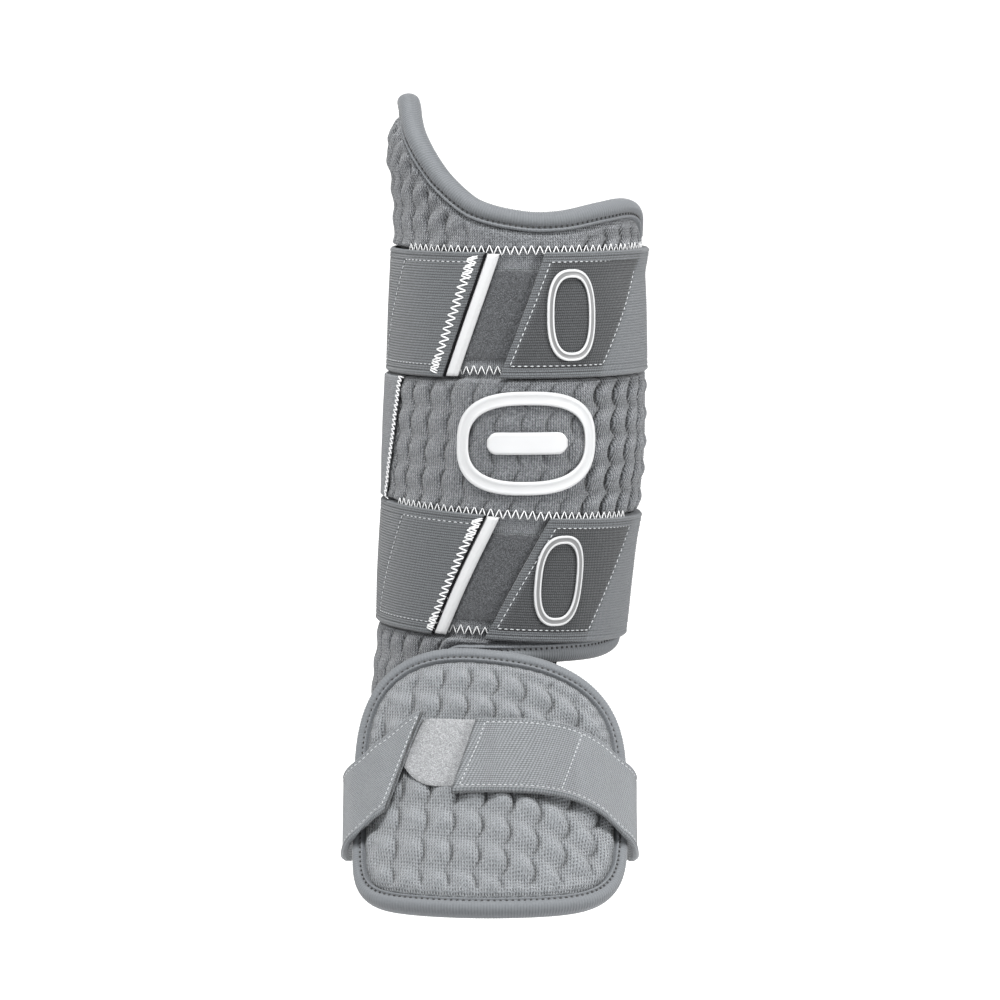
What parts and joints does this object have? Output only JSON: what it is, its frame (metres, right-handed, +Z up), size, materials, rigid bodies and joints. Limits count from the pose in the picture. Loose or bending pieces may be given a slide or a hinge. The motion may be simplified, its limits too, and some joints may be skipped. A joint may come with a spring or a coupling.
{
  "type": "batters leg guard",
  "caption": "Padded shin shell with a tall side wing, two wide elastic straps closed at the front, and a linked instep guard with its own strap",
  "frame": {"origin": "middle of the leg opening, on the leg's axis, midway between the two shin straps", "axes": "+Z runs up the leg, -Y points to the front of the shin, +X points away from the tall side wing"},
  "size_m": [0.1242, 0.2026, 0.3217],
  "materials": {
    "shin_knit": "matte embossed knit",
    "instep_knit": "matte embossed knit",
    "edge_binding": "ribbed elastic binding",
    "smooth_knit": "fine smooth knit",
    "dark_felt": "short loop pile",
    "light_felt": "short loop pile",
    "strap_webbing": "ribbed elastic webbing",
    "instep_webbing": "ribbed elastic webbing",
    "white_rubber": "satin moulded",
    "black_elastic": "matte elastic"
  },
  "bodies": {
    "root": {"shin_shell": "shin_knit", "shin_binding": "edge_binding", "side_gusset": "smooth_knit", "upper_landing_patch": "smooth_knit", "upper_landing_felt": "dark_felt", "upper_strap": "strap_webbing", "upper_strap_end_tab": "white_rubber", "upper_strap_badge": "white_rubber", "lower_landing_patch": "smooth_knit", "lower_landing_felt": "dark_felt", "lower_strap": "strap_webbing", "lower_strap_end_tab": "white_rubber", "lower_strap_badge": "white_rubber", "front_badge_ring": "white_rubber", "front_badge_bar": "white_rubber", "instep_pad": "instep_knit", "instep_binding": "edge_binding", "instep_felt": "light_felt", "instep_strap": "instep_webbing", "link_tab": "black_elastic"}
  },
  "joints": []
}
